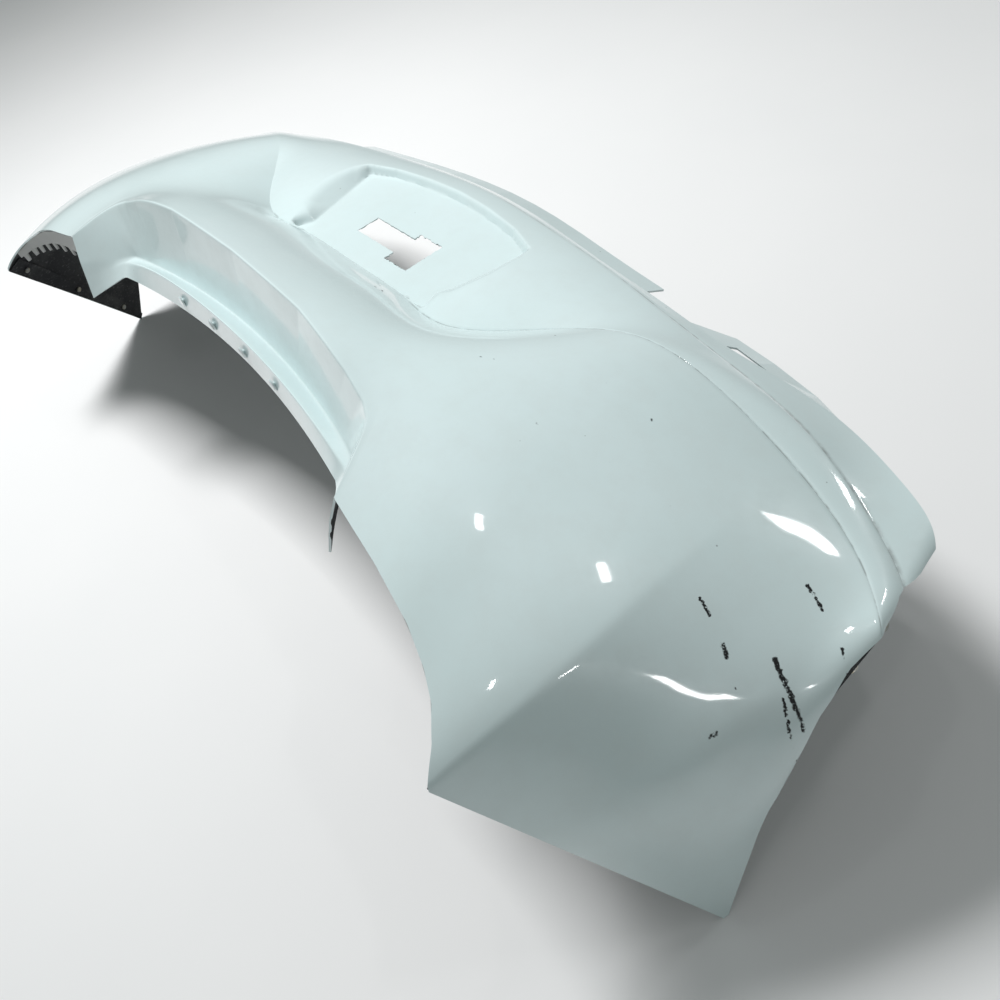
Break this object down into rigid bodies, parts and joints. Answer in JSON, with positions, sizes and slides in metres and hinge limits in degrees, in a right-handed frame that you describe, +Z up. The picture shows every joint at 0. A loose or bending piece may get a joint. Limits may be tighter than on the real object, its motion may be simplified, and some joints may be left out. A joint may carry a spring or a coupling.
{
  "type": "bumper cover",
  "caption": "Rear bumper cover with tailgate ledge, number-plate recess, lamp cut-outs and wrap-round wings, with its brackets, clips and screws.",
  "frame": {"origin": "on the floor under the middle of the cover as it lies face up on its two wing tips", "axes": "+X to the car's left along the cover, +Y down the cover from the tailgate ledge to the lower edge, +Z up and out of the painted face (the car's rearward direction)"},
  "size_m": [1.7512, 0.6538, 0.4771],
  "materials": {
    "white_paint": "gloss white paint on a thermoplastic moulding",
    "grey_plastic": "matte moulded grey",
    "dark_plastic": "matte moulded black",
    "zinc_steel": "zinc plated"
  },
  "bodies": {
    "root": {"cover_skin": "white_paint", "lower_strip": "white_paint", "lower_strip_screws": "zinc_steel", "ledge_rail": "dark_plastic", "ledge_clips": "dark_plastic", "lamp_bracket_left": "grey_plastic", "side_bracket_left": "dark_plastic", "arch_bracket_left": "dark_plastic", "hook_bracket_left": "white_paint", "arch_speed_nuts_left": "zinc_steel", "lamp_bracket_screws_left": "zinc_steel", "side_bracket_screws_left": "zinc_steel", "arch_bracket_screws_left": "zinc_steel", "hook_bracket_screws_left": "zinc_steel", "lamp_bracket_right": "grey_plastic", "side_bracket_right": "dark_plastic", "arch_bracket_right": "dark_plastic", "hook_bracket_right": "white_paint", "arch_speed_nuts_right": "zinc_steel", "lamp_bracket_screws_right": "zinc_steel", "side_bracket_screws_right": "zinc_steel", "arch_bracket_screws_right": "zinc_steel", "hook_bracket_screws_right": "zinc_steel"}
  },
  "joints": []
}
